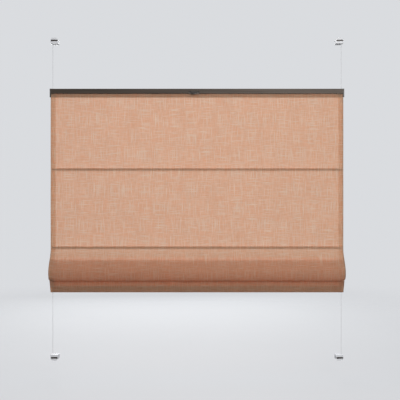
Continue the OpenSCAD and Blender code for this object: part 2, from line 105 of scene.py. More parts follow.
HEM_OUT = 0.001  # from the cloth's plane out to the hem's middle
HEM_HEIGHT = 0.043
HEM_LAP = 0.002  # from the hem's top down to where the second drop meets it
HEM_EASE = 0.040  # softness of that meeting
HEM_CLOSE = 0.0265  # height at which the hem's back begins to close above the bar
HEM_CLOSE_SPAN = 0.007
HEM_TURN_IN = 0.0150  # length of the raw edge turned in
HEM_PRESS = 0.006  # length over which the side hems are pressed flatter at the hem
PRESSED_SHARE = 0.5
HEM_NOTCH = (0.0012, 0.0167)  # heights of the notch round a bar guide
NOTCH_IN = GUIDE_INNER - 0.0006  # from here to the cloth's edge
TAB_HALF = RAIL_HIGH.x - 0.001  # half width of the narrower top
TAB_BOTTOM = RAIL_LOW.z + 0.0113  # where the full width begins
POCKET_INSET = 0.019
TUCK_FADE = 0.008  # length over which the crease grows shallow past a pocket's end
TUCK_EASE = 0.8  # share of its depth that goes
LIP_ABOVE, LIP_BELOW = 1.5, 0.7  # softness of the crease on its two sides

# Slow unevenness of the cloth, as sums of sines
BILLOW_WAVES = (  # rates across, down and from panel to panel, phase, size
    (7.3, 9.0, 1.9, 0.0, 1.0),
    (17.1, -6.0, 0.0, 0.7, 0.6),
)
BILLOW_MEAN, BILLOW_SWING = 0.9, 0.5
SWAY_WAVES = ((8.1, 0.6, 1.0), (19.7, 2.1, 0.6), (43.0, 0.0, 0.3))  # rate, phase, size
SWAY_UP = 0.4  # share of the sway that is up and down
LEFT_LIFT = 0.7  # rise of the fold's left end as a share of the right one's

# Sewing, in metres or in thicknesses of the thread
SIDE_ROW_INSET = 0.002  # from a side hem's inner edge
SIDE_ROW_TOP = 0.020
CROSS_ROW_INSET = 0.004  # from a side row
HEM_ROW_DROP = 0.0035
STITCH_BOW = 0.35
STITCH_LIFT = 0.15

CORD_R = 0.0005
RINGS_PER_LAY = 8
JOIN_DISTANCE = 1e-7

# Threads of the weave: cell of noise across and down, detail, shift, shown span, strength
THICK_THREADS = (
    ((0.0019, 0.060, 1), 1.0, 0.0, (0.53, 0.70), 1.0),
    ((0.052, 0.0019, 1), 1.0, 31.0, (0.54, 0.71), 1.0),
    ((0.0034, 0.040, 1), 2.0, 13.0, (0.50, 0.74), 0.36),
    ((0.040, 0.0034, 1), 2.0, 43.0, (0.51, 0.75), 0.36),
)
FINE_THREADS = (((0.0011, 0.020, 1), 7.0), ((0.020, 0.0011, 1), 19.0))  # cell, shift
FINE_TONE = (0.7, 1.3, 0.94, 1.04)  # noise from, to, and tone from, to
DYE_TONE = (0.3, 0.7, -0.012, 0.016)
# Painted shade along the side hem's turned edge: metres from that edge, and how much darker
PAINTED_EDGE_SHADE = (0.0008, 0.0030, -0.28, 0.0)  # metres from the pressed edge, and tone
SLUB_ON_FACE = 0.42  # share of a thick thread's colour in light from the front
SLUB_GLOW = 1.08  # its lightness where light comes through
SLUB_DENSE = 0.06  # what a thick thread takes from the openness
UV_SPAN = 1.2  # metres of cloth across the UV map
CLOTH_UV = "cloth"

# Stage
FLOOR_RADIUS = 3.6
FLOOR_RINGS, FLOOR_SPOKES = 24, 64
FLOOR_FADE = (1.35, 3.3)  # distances from the middle, in metres
FLOOR_TONES = (0.29, 0.31)
FLOOR_GLOW = 0.62
HORIZON = (-0.08, 0.3)  # heights of the sky's ramp from shade to fill
KEY_PLACE, KEY_SIZE, KEY_TINT = (0.7, -2.35, 0.1), 1.3, (1.0, 0.985, 0.965)
BACK_PLACE, BACK_SIZE, BACK_TINT = (-0.2, 1.9, 0.0), 1.8, (1.0, 1.0, 1.0)

REPLACED = ("fabric", "cord_left", "cord_right")


class BlindClothSettings(PropertyGroup):
    """Sizes and colours of the cloth and its sewing."""

    layer: FloatProperty(
        name="Layer", description="Thickness of one layer of cloth", default=0.0008, unit="LENGTH"
    )
    side_hem: FloatProperty(
        name="Side hem",
        description="Width of the hem turned back at each side",
        default=0.017,
        unit="LENGTH",
    )
    edge_turn: FloatProperty(
        name="Edge turn",
        description="Radius of the side hem's turn",
        default=0.00045,
        unit="LENGTH",
    )
    tuck: FloatProperty(
        name="Tuck",
        description="How far a rod's seam draws the cloth back",
        default=0.0020,
        unit="LENGTH",
    )
    tuck_lip: FloatProperty(
        name="Tuck lip",
        description="Softness of the crease at a rod's seam",
        default=0.0010,
        unit="LENGTH",
    )
    billow: FloatProperty(
        name="Billow",
        description="How far a flat panel swells between its seams",
        default=0.0007,
        unit="LENGTH",
    )
    fold_sway: FloatProperty(
        name="Fold sway",
        description="Unevenness of the gathered fold along its length",
        default=0.0008,
        unit="LENGTH",
    )
    corner_lift: FloatProperty(
        name="Corner lift",
        description="Rise of the fold's bottom at its two ends",
        default=0.006,
        unit="LENGTH",
    )
    corner_reach: FloatProperty(
        name="Corner reach",
        description="Length of the fold's ends that rise",
        default=0.022,
        unit="LENGTH",
    )
    corner_flare: FloatProperty(
        name="Corner flare",
        description="How far the fold's ends open outwards",
        default=0.0018,
        unit="LENGTH",
    )
    stitch: FloatProperty(
        name="Stitch", description="Length of one stitch", default=0.0031, unit="LENGTH"
    )
    stitch_pitch: FloatProperty(
        name="Stitch pitch",
        description="Distance from one stitch to the next",
        default=0.0045,
        unit="LENGTH",
    )
    thread: FloatProperty(
        name="Thread", description="Thickness of the sewing thread", default=0.0004, unit="LENGTH"
    )
    openness: FloatProperty(
        name="Openness",
        description="Share of the light that passes through a layer",
        default=0.57,
        subtype="FACTOR",
    )
    face_colour: FloatVectorProperty(
        name="Cloth",
        description="Colour of the cloth in light from the front",
        default=(0.662, 0.432, 0.273),
        subtype="COLOR",
    )
    glow_colour: FloatVectorProperty(
        name="Glow",
        description="Colour of light that comes through the cloth",
        default=(0.83, 0.408, 0.27),
        subtype="COLOR",
    )
    selvedge_openness: FloatProperty(
        name="Selvedge openness",
        description="Share of the light that passes through the edge turned back at the sides",
        default=0.70,
        subtype="FACTOR",
    )
    selvedge_colour: FloatVectorProperty(
        name="Selvedge",
        description="Colour of light that comes through that edge",
        default=(0.90, 0.79, 0.665),
        subtype="COLOR",
    )
    slub_colour: FloatVectorProperty(
        name="Slub",
        description="Colour of the thicker pale threads",
        default=(0.785, 0.575, 0.455),
        subtype="COLOR",
    )
    thread_colour: FloatVectorProperty(
        name="Sewing thread",
        description="Colour of the stitches",
        default=(0.60, 0.29, 0.175),
        subtype="COLOR",
    )


class BlindCordSettings(PropertyGroup):
    """Sizes and colour of the two taut cords."""

    strands: IntProperty(
        name="Strands", description="Strands of the braid that run each way", default=4
    )
    lay: FloatProperty(
        name="Lay", description="Length of one turn of a strand", default=0.0048, unit="LENGTH"
    )
    relief: FloatProperty(
        name="Relief",
        description="Height of a strand as a share of the cord's radius",
        default=0.16,
        subtype="FACTOR",
    )
    colour: FloatVectorProperty(
        name="Cord", description="Colour of the cords", default=(0.64, 0.64, 0.655), subtype="COLOR"
    )


class BlindFinishSettings(PropertyGroup):
    """Colours of the rail, its fittings and the clamps."""

    bronze: FloatVectorProperty(
        name="Rail",
        description="Satin bronze coat of the rail",
        default=(0.056, 0.041, 0.031),
        subtype="COLOR",
    )
    cap: FloatVectorProperty(
        name="End caps",
        description="Plastic of the rail's end caps",
        default=(0.058, 0.045, 0.036),
        subtype="COLOR",
    )
    handle: FloatVectorProperty(
        name="Handle",
        description="Plastic of the pull handle",
        default=(0.040, 0.032, 0.026),
        subtype="COLOR",
    )
    guide: FloatVectorProperty(
        name="Guides",
        description="Plastic of the guides and bushes",
        default=(0.060, 0.048, 0.040),
        subtype="COLOR",
    )
    white: FloatVectorProperty(
        name="Clamps",
        description="White plastic of the clamps",
        default=(0.81, 0.83, 0.87),
        subtype="COLOR",
    )
    brown: FloatVectorProperty(
        name="Shoes",
        description="Dark brown plastic of the cord shoes",
        default=(0.024, 0.016, 0.011),
        subtype="COLOR",
    )
    tape: FloatVectorProperty(
        name="Header tape",
        description="Woven tape that holds the cloth to the rail",
        default=(0.68, 0.67, 0.655),
        subtype="COLOR",
    )
    pad: FloatVectorProperty(
        name="Pads",
        description="Foam of the clamp pads",
        default=(0.16, 0.16, 0.165),
        subtype="COLOR",
    )
    steel: FloatVectorProperty(
        name="Steel",
        description="Drawn steel of the rods and screws",
        default=(0.82, 0.825, 0.83),
        subtype="COLOR",
    )
    aluminium: FloatVectorProperty(
        name="Aluminium",
        description="Drawn aluminium of the bottom bar",
        default=(0.84, 0.845, 0.85),
        subtype="COLOR",
    )


class BlindStageSettings(PropertyGroup):
    """Camera, floor and light."""

    camera_x: FloatProperty(
        name="Camera across",
        description="Camera's place across the blind",
        default=0.0102,
        unit="LENGTH",
    )
    camera_back: FloatProperty(
        name="Camera back",
        description="Camera's distance from the sash's plane",
        default=2.515,
        unit="LENGTH",
    )
    camera_z: FloatProperty(
        name="Camera height",
        description="Camera's height from the top of the clamps' seat",
        default=-0.5439,
        unit="LENGTH",
    )
    lens: FloatProperty(
        name="Lens", description="Focal length in millimetres", default=66.27
    )
    floor_gap: FloatProperty(
        name="Floor gap",
        description="Gap between the blind's lowest point and the floor",
        default=0.06,
        unit="LENGTH",
    )
    backdrop: FloatVectorProperty(
        name="Backdrop",
        description="Pale colour that shows behind the blind",
        default=(0.70, 0.715, 0.74),
        subtype="COLOR",
    )
    fill: FloatVectorProperty(
        name="Fill",
        description="Soft light from above",
        default=(0.56, 0.56, 0.57),
        subtype="COLOR",
    )
    shade: FloatVectorProperty(
        name="Shade",
        description="Soft light from below",
        default=(0.02, 0.02, 0.0205),
        subtype="COLOR",
    )
    floor_return: FloatProperty(
        name="Floor return",
        description="Share of light that the floor throws back up",
        default=0.06,
        subtype="FACTOR",
    )
    key_power: FloatProperty(
        name="Key lamp", description="Power of the lamp at the front", default=34.5, unit="POWER"
    )
    back_power: FloatProperty(
        name="Back lamp",
        description="Power of the lamp behind the cloth",
        default=32.7,
        unit="POWER",
    )


# Meshes


def grid_faces(rows, columns, wrap=False):
    """Quads of a grid of points, four point numbers each, closed across when wrap is set.

    The face of a quad looks along (down the rows) cross (along the columns).
    """
    index = np.arange(rows * columns).reshape(rows, columns)
    if wrap:
        index = np.hstack([index, index[:, :1]])
    corners = [index[:-1, :-1], index[1:, :-1], index[1:, 1:], index[:-1, 1:]]
    return np.stack(corners, axis=-1).reshape(-1, 4)


def grid_points(*parts):
    """Points of a grid from arrays of their parts, each as wide as it varies."""
    return np.stack(np.broadcast_arrays(*parts), axis=-1)


def make_piece(name, points, faces, material, uv=None):
    """A smooth mesh object at the origin, with the points that its faces use, equal ones joined."""
    points = np.asarray(points, float).reshape(-1, 3)
    used, faces = np.unique(faces, return_inverse=True)
    faces = faces.reshape(-1, 4)
    mesh = bpy.data.meshes.new(name)
    mesh.from_pydata(points[used].tolist(), [], faces.tolist())
    if uv is not None:
        layer = mesh.uv_layers.new(name=CLOTH_UV)
        order = np.zeros(len(mesh.loops), np.int32)
        mesh.loops.foreach_get("vertex_index", order)
        layer.data.foreach_set("uv", np.asarray(uv, float).reshape(-1, 2)[used][order].ravel())
    joined = bmesh.new()
    joined.from_mesh(mesh)
    bmesh.ops.remove_doubles(joined, verts=joined.verts, dist=JOIN_DISTANCE)
    joined.to_mesh(mesh)
    joined.free()
    mesh.shade_smooth()
    mesh.materials.append(material)
    piece = bpy.data.objects.new(name, mesh)
    bpy.context.scene.collection.objects.link(piece)
    return piece


def smooth_step(t):
    """The ramp t*t*(3-2t), held at 0 and 1 outside."""
    t = np.clip(t, 0, 1)
    return t * t * (3 - 2 * t)


# Cloth


def cubic(start, leave, end, arrive, count):
    """Points on a cubic between two points, leaving along one arrow and arriving along another."""
    t = np.linspace(0, 1, count)[:, None]
    arrows = t * (1 - t) ** 2 * leave - t * t * (1 - t) * arrive
    return start + (end - start) * smooth_step(t) + arrows


class ClothPath:
    """The middle line of one layer of cloth, from its top edge to the end of the hem.

    Each run is an array of points (f, z), with f the distance towards the room from the cloth's
    plane: a flat drop, a swell by a smooth step, two quarter ellipses back under, a straight climb,
    a small half circle over, a second drop on a cubic, the leaning front of the hem, half a circle
    under the bar, the hem's back, which closes on its front above the bar by a smooth step, and
    the raw edge, turned in by a half circle.
    """

    def __init__(self, cloth):
        layer = cloth.layer
        self.cloth = cloth
        self.y = TAPE_FRONT - SEAT_GAP - layer / 2
        self.half = CLOTH_HIGH.x
        seam_z = [z + SEAM_RISE for z in ROD_Z[:2]]
        reach = self.y - CLOTH_LOW.y - layer / 2
        top_z = CLOTH_HIGH.z
        fold_z = seam_z[1] - FOLD_DROP
        turn_z = fold_z + layer / 2 + FOLD_TURN
        nose_z = fold_z + layer / 2 + NOSE_TURN
        swell_z = seam_z[1] - SWELL_DROP
        bend_z = ROD_Z[2] + BEND_RISE
        bend_f = reach * smooth_step((swell_z - bend_z) / (swell_z - turn_z)) - BEND_GAP - BEND_R
        hem_r = (BAR_THICK + layer) / 2 + SEAT_GAP
        self.hem_centre = np.array([HEM_OUT, CLOTH_LOW.z + layer / 2 + hem_r])

        near_seam = np.concatenate([np.linspace(-span, span, rows) for span, rows in SEAM_ROWS])
        self.crease_z = [z + CREASE_RISE for z in seam_z]
        by_creases = [z + near_seam for z in self.crease_z]
        drop = np.concatenate([np.linspace(top_z, swell_z, 112), *by_creases])
        drop = np.unique(np.round(drop[drop >= swell_z], 6))[::-1]
        t = np.linspace(0, 1, 36)
        under = np.linspace(0, math.pi / 2, 20)
        over = np.linspace(0, math.pi, 11)
        round_bar = np.linspace(0, math.pi, 11)
        up = np.union1d(np.linspace(0, HEM_HEIGHT, 24), HEM_NOTCH)
        bend_start = np.array([bend_f + BEND_R, bend_z])
        bend_end = np.array([bend_f - BEND_R, bend_z])
        turn_end = np.array([reach - FOLD_DEPTH, turn_z])
        nose_f = reach - NOSE_DEPTH * (1 - np.cos(under))
        rear_f = turn_end[0] + (FOLD_DEPTH - NOSE_DEPTH) * (1 - np.sin(under))
        hem_start = self.hem_point(hem_r, HEM_HEIGHT - HEM_LAP)[0]
        lean = self.hem_point(0, 1)[0] - self.hem_centre
        fall = np.array([0, -np.hypot(*(hem_start - bend_end))])
        closing = smooth_step((up - HEM_CLOSE) / HEM_CLOSE_SPAN) * 2 * (hem_r - layer)
        turn_in = np.linspace(0, math.pi, 7)
        turn_in_d = hem_r - layer * (1.5 + 0.5 * np.cos(turn_in))
        runs = [
            np.column_stack([np.zeros(len(drop)), drop]),
            np.column_stack([reach * smooth_step(t), swell_z + (nose_z - swell_z) * t]),
            np.column_stack([nose_f, nose_z - NOSE_TURN * np.sin(under)]),
            np.column_stack([rear_f, turn_z - FOLD_TURN * np.cos(under)]),
            turn_end + (bend_start - turn_end) * np.linspace(0, 1, 12)[:, None],
            np.column_stack([bend_f + BEND_R * np.cos(over), bend_z + BEND_R * np.sin(over)]),
            cubic(bend_end, fall, hem_start, -HEM_EASE * lean, 22),
            self.hem_point(hem_r, np.linspace(HEM_HEIGHT - HEM_LAP, 0, 9)),
            self.hem_point(hem_r * np.cos(round_bar), -hem_r * np.sin(round_bar)),
            self.hem_point(closing - hem_r, up),
            self.hem_point(turn_in_d, HEM_HEIGHT + layer / 2 * np.sin(turn_in)),
            self.hem_point(hem_r - layer, np.linspace(HEM_HEIGHT, HEM_HEIGHT - HEM_TURN_IN, 5)),
        ]
        line = np.concatenate([run[int(i > 0):] for i, run in enumerate(runs)])
        step = np.hypot(*np.diff(line, axis=0).T)
        self.s = np.concatenate([[0], np.cumsum(step)])
        self.f, self.z = line.T
        heading = np.gradient(line, self.s, axis=0)
        heading /= np.hypot(*heading.T)[:, None]
        self.normal_f, self.normal_z = -heading[:, 1], heading[:, 0]
        self.length = self.s[-1]
        ends = np.cumsum([len(run) - int(i > 0) for i, run in enumerate(runs)]) - 1
        self.s_swell, s_under, self.s_gather, self.s_hem, s_bottom = self.s[ends[[0, 3, 5, 6, 7]]]
        self.s_notch = [s_bottom + math.pi * hem_r + height for height in HEM_NOTCH]
        self.s_seams = [top_z - z for z in self.crease_z]
        sag = np.clip((swell_z - self.z) / (swell_z - turn_z), 0, 1)
        rise = np.where(self.s > s_under, smooth_step((bend_z - self.z) / (bend_z - turn_z)), 1)
        in_fold = (self.s > self.s_swell) & (self.s < self.s_gather)
        self.fold = np.where(in_fold, sag**FOLD_EASE * rise, 0)

    def hem_point(self, d, s):
        """Points of the hem's section, d out from its middle and s up along its lean."""
        d, s = np.broadcast_arrays(np.atleast_1d(np.asarray(d, float)), s)
        out = np.array([math.cos(HEM_TILT), -math.sin(HEM_TILT)])
        lean = np.array([math.sin(HEM_TILT), math.cos(HEM_TILT)])
        return self.hem_centre + d[:, None] * out + s[:, None] * lean

    def at(self, s, x, d=0.0):
        """Points at length s down the cloth, x across it and d out of its face, as (..., 3).

        The path's normal carries d. To it are added a crease at each rod's seam, exp(-|ds| / lip)
        deep, softer above and shallower past the pocket's ends, a swell of each flat panel as the
        square of a sine between its seams, and on the fold a slow sway in sines of x and ends that
        rise and open as the square of the distance.
        """
        cloth = self.cloth
        s, x, d = np.broadcast_arrays(s, x, d)
        along = (self.f, self.z, self.normal_f, self.normal_z, self.fold)
        f, z, normal_f, normal_z, fold = (np.interp(s, self.s, values) for values in along)
        out = d
        past_pocket = np.abs(x) - self.half + POCKET_INSET + TUCK_FADE
        sewn = 1 - TUCK_EASE * smooth_step(past_pocket / TUCK_FADE)
        for seam in self.s_seams:
            lip = np.where(s < seam, LIP_ABOVE, LIP_BELOW) * cloth.tuck_lip
            out = out - cloth.tuck * sewn * np.exp(-np.abs(s - seam) / lip)
        seams = [RAIL_HIGH.z - RAIL_LOW.z, *self.s_seams]
        for number, (above, below) in enumerate(zip(seams[:-1], seams[1:])):
            t = np.clip((s - above) / (below - above), 0, 1)
            waves = sum(
                size * np.sin(rate * x + fall * t + panel * number + phase)
                for rate, fall, panel, phase, size in BILLOW_WAVES
            )
            swell = BILLOW_MEAN + BILLOW_SWING * waves
            out = out + cloth.billow * np.sin(math.pi * t) ** 2 * swell
        sway = sum(size * np.sin(rate * x + phase) for rate, phase, size in SWAY_WAVES)
        end = np.clip((np.abs(x) - self.half + cloth.corner_reach) / cloth.corner_reach, 0, 1) ** 2
        end = end * np.where(x > 0, 1.0, LEFT_LIFT)
        f = f + normal_f * out + cloth.fold_sway * sway * fold
        z = z + normal_z * out + (SWAY_UP * cloth.fold_sway * sway + cloth.corner_lift * end) * fold
        x = x + np.sign(x) * cloth.corner_flare * end * fold
        return np.stack([x, self.y - f, z], axis=-1)

    def frames(self, s, x):
        """Directions at points of the cloth: down, across and out of its face, as (n, 3, 3)."""
        small = 1e-5
        down = self.at(s + small, x) - self.at(s - small, x)
        across = self.at(s, x + small) - self.at(s, x - small)
        down /= np.linalg.norm(down, axis=1)[:, None]
        across /= np.linalg.norm(across, axis=1)[:, None]
        out = np.cross(down, across)
        out /= np.linalg.norm(out, axis=1)[:, None]
        return np.stack([down, across, out], axis=1)


def cloth_columns(path):
    """Places across the cloth: x, depth d and the length u along the cut edge, as three arrays.

    The middle runs flat. At each side the cloth turns back by half a circle and lies flat behind
    itself for the width of the hem.
    """
    r = path.cloth.edge_turn
    flat_end = path.half - r
    turn = np.linspace(0, math.pi, 7)[1:]
    hem_x = np.linspace(flat_end, path.half - path.cloth.side_hem, 6)[1:]
    edge_x = np.concatenate([flat_end + r * np.sin(turn), hem_x])
    edge_d = np.concatenate([-r * (1 - np.cos(turn)), np.full(len(hem_x), -2 * r)])
    corner = np.linspace(flat_end - path.cloth.corner_reach, flat_end, 11)[1:]
    corner = np.union1d(corner, NOTCH_IN)
    middle = np.linspace(-corner[0], corner[0], 165)
    x = np.concatenate([-edge_x[::-1], -corner[:0:-1], middle, corner[1:], edge_x])
    flat = np.zeros(len(middle) + 2 * len(corner) - 2)
    d = np.concatenate([edge_d[::-1], flat, edge_d])
    u = np.concatenate([[0], np.cumsum(np.hypot(np.diff(x), np.diff(d)))])
    return x, d, u


class BLIND_OT_hang_cloth(Operator):
    """Hang the linen: one layer with turned side hems, a gathered fold and a hem round the bar."""

    bl_idname = "blind.hang_cloth"
    bl_label = "Hang cloth"

    def execute(self, context):
        cloth = context.scene.blind_cloth
        path = ClothPath(cloth)
        x, d, u = cloth_columns(path)
        s = path.s
        narrow = np.where(path.z > TAB_BOTTOM, TAB_HALF / path.half, 1.0)
        narrow[s > path.s_swell] = 1.0
        thin = 1 - PRESSED_SHARE * smooth_step((s - path.s_hem) / HEM_PRESS)
        points = path.at(s[:, None], x[None, :] * narrow[:, None], d[None, :] * thin[:, None])
        faces = grid_faces(len(s), len(x)).reshape(len(s) - 1, len(x) - 1, 4)
        behind_bar = (s[1:] > path.s_notch[0]) & (s[1:] < path.s_notch[1])
        past_notch = np.abs(x[:-1] + x[1:]) / 2 > NOTCH_IN
        faces = faces[~(behind_bar[:, None] & past_notch[None, :])]
        uv = grid_points(u[None, :], s[:, None]) / UV_SPAN
        piece = make_piece("linen_cloth", points, faces, linen(cloth), uv)
        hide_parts("fabric")
        blend_with_cloth(piece)
        return {"FINISHED"}


def blend_with_cloth(piece):
    """Bakes a piece's placement into its mesh."""
    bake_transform(piece)


def pocket_loop(path, number):
    """Section of a rod's pocket as points (y, z).

    A straight leg goes from the seam to the tangent of a circle round the rod, then come the
    circle's far side and the other tangent back to the seam.
    """
    cloth = path.cloth
    radius = ROD_R + SEAT_GAP + cloth.layer / 2
    if number < 2:
        seam = np.array([path.y + cloth.tuck, path.crease_z[number]])
    else:
        seam = path.at(path.s_gather + THIRD_SEAM, 0.0)[1:] + [cloth.layer / 4, 0]
    middle = np.array([ROD_Y, ROD_Z[number]])
    away = seam - middle
    towards = math.atan2(away[1], -away[0])
    half = math.acos(radius / np.hypot(*away))
    around = np.linspace(towards + half, towards + 2 * math.pi - half, 25)
    ring = middle + radius * np.column_stack([-np.cos(around), np.sin(around)])
    t = np.linspace(0, 1, 5)[:-1, None]
    legs = [seam + (ring[end] - seam) * t for end in (0, -1)]
    return np.concatenate([legs[0], ring, legs[1][::-1]])


class BLIND_OT_sew_pockets(Operator):
    """Sew a pocket for each rod: a strip of cloth from the back, round the rod and back again."""

    bl_idname = "blind.sew_pockets"
    bl_label = "Sew rod pockets"

    def execute(self, context):
        cloth = context.scene.blind_cloth
        path = ClothPath(cloth)
        half = path.half - POCKET_INSET
        x = np.linspace(-half, half, 90)
        for number, body in enumerate(ROD_BODIES):
            y, z = pocket_loop(path, number).T
            points = grid_points(x[None, :], y[:, None], z[:, None])
            length = np.concatenate([[0], np.cumsum(np.hypot(np.diff(y), np.diff(z)))])
            uv = grid_points(x[None, :] + half, length[:, None]) / UV_SPAN
            faces = grid_faces(len(y), len(x))[:, ::-1]
            weave = linen(cloth, thin=True)
            piece = make_piece(f"rod_pocket_{number + 1}", points, faces, weave, uv)
            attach(piece, body)
        return {"FINISHED"}


def stitch_shape(cloth):
    """One stitch, a bowed thread: rings of a circle whose radius falls to nothing at both ends.

    Returns points as (down, across, out) and its quads.
    """
    t = np.linspace(0, math.pi, 6)
    turn = np.linspace(0, 2 * math.pi, 7)[:-1]
    radius = cloth.thread / 2 * np.sqrt(np.sin(t))
    along = -np.cos(t)[:, None] * cloth.stitch / 2
    across = radius[:, None] * np.cos(turn)[None, :]
    bow = cloth.thread * STITCH_BOW * np.sin(t)
    out = radius[:, None] * np.sin(turn)[None, :] + bow[:, None]
    faces = grid_faces(len(t), len(turn), wrap=True)[:, ::-1]
    return grid_points(along, across, out).reshape(-1, 3), faces


def stitch_row(path, name, s, x, turned):
    """A row of stitches on the cloth's face at the points (s, x), one shape carried to every point.

    A turned row runs across the cloth and the others run down it.
    """
    shape, faces = stitch_shape(path.cloth)
    if turned:
        shape = shape[:, [1, 0, 2]] * [-1, 1, 1]
    s, x = np.broadcast_arrays(s, x)
    centres = path.at(s, x, path.cloth.thread * STITCH_LIFT)
    points = centres[:, None, :] + np.einsum("pk,nkc->npc", shape, path.frames(s, x))
    numbers = faces[None, :, :] + len(shape) * np.arange(len(s))[:, None, None]
    piece = make_piece(name, points, numbers.reshape(-1, 4), sewing_thread(path.cloth))
    blend_with_cloth(piece)


class BLIND_OT_sew_stitches(Operator):
    """Sew the rows of stitches along the side hems, the rods' seams and the top of the hem."""

    bl_idname = "blind.sew_stitches"
    bl_label = "Sew stitches"

    def execute(self, context):
        cloth = context.scene.blind_cloth
        path = ClothPath(cloth)
        inset = path.half - cloth.side_hem + SIDE_ROW_INSET
        down = np.arange(SIDE_ROW_TOP, path.s_gather, cloth.stitch_pitch)
        row_end = inset - CROSS_ROW_INSET
        across = np.arange(-row_end, row_end, cloth.stitch_pitch)
        stitch_row(path, "stitch_side_left", down, np.full(len(down), -inset), False)
        stitch_row(path, "stitch_side_right", down, np.full(len(down), inset), False)
        for number, seam in enumerate(path.s_seams):
            stitch_row(path, f"stitch_rod_{number + 1}", np.full(len(across), seam), across, True)
        hem_row = np.full(len(across), path.s_hem + HEM_ROW_DROP)
        stitch_row(path, "stitch_hem", hem_row, across, True)
        return {"FINISHED"}


class BLIND_OT_string_cords(Operator):
    """String the two taut cords: braided round bars that end in knots inside their shoes."""

    bl_idname = "blind.string_cords"
    bl_label = "String cords"

    def execute(self, context):
        cord = context.scene.blind_cord
        for side in ("left", "right"):
            points, faces, uv = braided_cord(cord, *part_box(f"cord_{side}"))
            piece = make_piece(f"braided_cord_{side}", points, faces, cord_finish(cord), uv)
            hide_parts(f"cord_{side}")
            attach(piece, "clamps_and_cords")
        return {"FINISHED"}


def braided_cord(cord, low, high):
    """A cord as a surface of revolution with the relief of a braid.

    At height z and angle a the radius is r (1 - relief + relief * the higher of two crossed
    waves), |sin(n (a + kz) / 2)| and |sin(n (a - kz) / 2)|. A knot at each end is a sphere on the
    same axis.
    """
    knot = (high.x - low.x) / 2
    centre_x, centre_y = (low.x + high.x) / 2, (low.y + high.y) / 2
    rings = int((high.z - low.z) / cord.lay * RINGS_PER_LAY)
    arc = np.linspace(0, math.pi / 2, 6)
    ends = knot * (1 - np.cos(arc))
    between = np.linspace(low.z + knot, high.z - knot, rings)[1:-1]
    z = np.concatenate([low.z + ends, between, high.z - ends[::-1]])
    turn = np.linspace(0, 2 * math.pi, 13)[:-1]
    twist = 2 * math.pi * z[:, None] / cord.lay
    crossed = [
        np.abs(np.sin(cord.strands * (turn[None, :] + way * twist) / 2)) for way in (1, -1)
    ]
    braid = CORD_R * (1 - cord.relief + cord.relief * np.maximum(*crossed))
    from_end = np.minimum(z - low.z, high.z - z)
    ball = np.sqrt(np.clip(knot**2 - (from_end - knot) ** 2, 0, None))[:, None]
    r = np.where(from_end[:, None] < knot, ball, np.maximum(ball, braid))
    points = grid_points(centre_x + r * np.cos(turn), centre_y + r * np.sin(turn), z[:, None])
    uv = grid_points(turn[None, :] / (2 * math.pi), (z[:, None] - low.z) / (high.z - low.z))
    return points, grid_faces(len(z), len(turn), wrap=True)[:, ::-1], uv


# Finishes


class NodeGraph:
    """A node tree, with one call that adds a node and links it."""

    def __init__(self, tree):
        self.tree = tree

    def add(self, kind, inputs=None, **settings):
        """Adds a node with its options and inputs."""
        node = self.tree.nodes.new("ShaderNode" + kind)
        for key, value in settings.items():
            setattr(node, key, value)
        self.fill(node, inputs or {})
        return node

    def fill(self, node, inputs):
        """Sets inputs of a node, each by a value or by a link."""
        for key, value in inputs.items():
            if isinstance(value, bpy.types.NodeSocket):
                self.tree.links.new(value, node.inputs[key])
            else:
                node.inputs[key].default_value = value

    def object_place(self):
        """Object coordinates of a material."""
        return self.add("TexCoord").outputs["Object"]

    def noise(self, place, period, detail=2.0, shift=0.0, flat=False):
        """Noise with a feature of about that size, in metres, along each axis."""
        scale = tuple(1 / length for length in period)
        moving = {"Vector": place, "Scale": scale, "Location": (shift,) * 3}
        moved = self.add("Mapping", moving).outputs[0]
        inputs = {"Vector": moved, "Scale": 1.0, "Detail": detail}
        return self.add("TexNoise", inputs, noise_dimensions="2D" if flat else "3D").outputs[0]

    def span(self, value, low, high, to_low=0.0, to_high=1.0):
        """A smooth ramp from one range of values to another."""
        inputs = {"Value": value, "From Min": low, "From Max": high}
        inputs |= {"To Min": to_low, "To Max": to_high}
        return self.add("MapRange", inputs, interpolation_type="SMOOTHSTEP").outputs[0]

    def waves(self, place, scale, distortion, ways):
        """Bands of waves, one for each axis that is named."""
        inputs = {"Vector": place, "Scale": scale, "Distortion": distortion}
        return [self.add("TexWave", inputs, bands_direction=way).outputs["Fac"] for way in ways]

    def math(self, operation, a, b=0.0):
        """The result of one operation on one or two values."""
        return self.add("Math", {0: a, 1: b}, operation=operation).outputs[0]

    def highest(self, values):
        """The highest of some values."""
        top = values[0]
        for value in values[1:]:
            top = self.math("MAXIMUM", top, value)
        return top

    def blend(self, share, a, b):
        """A colour between two colours."""
        return self.add("Mix", {0: share, 6: a, 7: b}, data_type="RGBA").outputs[2]


class Finish(NodeGraph):
    """A material with a Principled shader."""

    def __init__(self, name):
        self.material = bpy.data.materials.new(name)
        self.material.use_nodes = True
        super().__init__(self.material.node_tree)
        self.shader = self.tree.nodes["Principled BSDF"]
        self.output = self.tree.nodes["Material Output"]

    def coat(self, share, colour, tones, inputs):
        """Sets the shader's inputs, with a base colour between two tones of one colour."""
        between = self.blend(share, *(rgba(colour, tone) for tone in tones))
        self.fill(self.shader, {"Base Color": between, **inputs})

    def bump(self, height, strength, distance):
        """Fine relief on the shader's normal."""
        inputs = {"Height": height, "Strength": strength, "Distance": distance}
        relief = self.add("Bump", inputs).outputs[0]
        self.tree.links.new(relief, self.shader.inputs["Normal"])


def made(name):
    """A finish that an earlier step has made, or nothing."""
    return bpy.data.materials.get(name)


def rgba(colour, lighter=1.0):
    """A colour with full alpha, made lighter or darker by a factor."""
    return tuple(min(1.0, c * lighter) for c in colour) + (1.0,)


